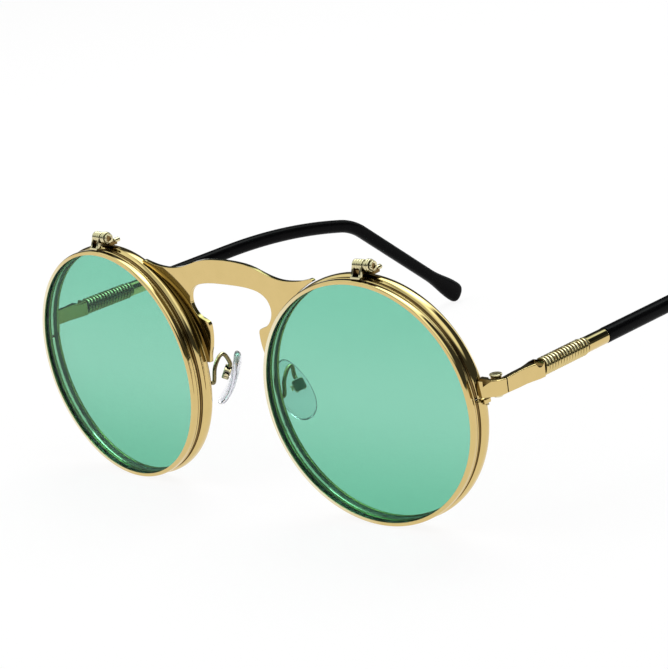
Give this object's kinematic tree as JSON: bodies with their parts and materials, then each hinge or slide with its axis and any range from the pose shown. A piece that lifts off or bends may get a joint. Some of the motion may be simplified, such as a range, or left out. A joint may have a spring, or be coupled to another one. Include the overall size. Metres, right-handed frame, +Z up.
{
  "type": "steampunk sunglasses",
  "caption": "Round flip-up sunglasses in polished gold metal with green lenses in front of clear ones, a flat keyhole bridge, coil springs in the temples and black tips.",
  "frame": {"origin": "on the ground under the middle of the sunglasses, which stand on the bottoms of both rear rims and both temple tips with the temples open", "axes": "+X towards the wearer's left, +Y from the lenses towards the temple tips, +Z up"},
  "size_m": [0.136, 0.1534, 0.0558],
  "materials": {
    "gold": "polished light gold plating",
    "gilt_screw": "gold-plated steel",
    "green_lens": "clear mint green tint, polished",
    "clear_lens": "clear, polished",
    "black_tip": "black, satin to glossy",
    "clear_silicone": "clear soft silicone"
  },
  "bodies": {
    "front": {"bridge": "gold", "clear_lens_left": "clear_lens", "clear_lens_right": "clear_lens", "endpiece_left": "gold", "endpiece_right": "gold", "flip_saddle_left": "gold", "flip_saddle_right": "gold", "flip_screw_left": "gilt_screw", "flip_screw_right": "gilt_screw", "flip_washer_left": "gilt_screw", "flip_washer_right": "gilt_screw", "hinge_screw_left": "gilt_screw", "hinge_screw_right": "gilt_screw", "pad_arm_left": "gold", "pad_arm_right": "gold", "pad_box_left": "gold", "pad_box_right": "gold", "pad_screw_left": "gilt_screw", "pad_screw_right": "gilt_screw", "rear_rim_left": "gold", "rear_rim_right": "gold", "rim_lock_left": "gold", "rim_lock_right": "gold", "rim_lock_screw_left": "gilt_screw", "rim_lock_screw_right": "gilt_screw"},
    "flip_left": {"flip_bracket_left": "gold", "flip_rim_left": "gold", "green_lens_left": "green_lens"},
    "flip_right": {"flip_bracket_right": "gold", "flip_rim_right": "gold", "green_lens_right": "green_lens"},
    "temple_left": {"ferrule_left": "gold", "temple_bar_left": "gold", "temple_spring_left": "gold", "temple_tip_left": "black_tip"},
    "temple_right": {"ferrule_right": "gold", "temple_bar_right": "gold", "temple_spring_right": "gold", "temple_tip_right": "black_tip"},
    "pad_left": {"nose_pad_left": "clear_silicone"},
    "pad_right": {"nose_pad_right": "clear_silicone"}
  },
  "joints": [
    {"name": "flip_left_hinge", "type": "hinge", "parent": "front", "child": "flip_left", "pos_m": [0.03844, -0.07318, 0.05473], "axis": [-0.9969, -0.0783, -0.005], "range_deg": [0, 100]},
    {"name": "flip_right_hinge", "type": "hinge", "parent": "front", "child": "flip_right", "pos_m": [-0.03744, -0.07326, 0.05473], "axis": [-0.9969, 0.0783, 0.005], "range_deg": [0, 100]},
    {"name": "temple_left_hinge", "type": "hinge", "parent": "front", "child": "temple_left", "pos_m": [0.0642, -0.06584, 0.0315], "axis": [0, -0.038, 0.9993], "range_deg": [0, 88]},
    {"name": "temple_right_hinge", "type": "hinge", "parent": "front", "child": "temple_right", "pos_m": [-0.0642, -0.06584, 0.0315], "axis": [0, 0.038, -0.9993], "range_deg": [0, 80]},
    {"name": "pad_left_rock", "type": "hinge", "parent": "front", "child": "pad_left", "pos_m": [0.01101, -0.06531, 0.02511], "axis": [-0.5233, -0.8079, -0.271], "range_deg": [-5, 5]},
    {"name": "pad_right_rock", "type": "hinge", "parent": "front", "child": "pad_right", "pos_m": [-0.01101, -0.06531, 0.02511], "axis": [-0.5233, 0.8079, 0.271], "range_deg": [-5, 5]}
  ]
}
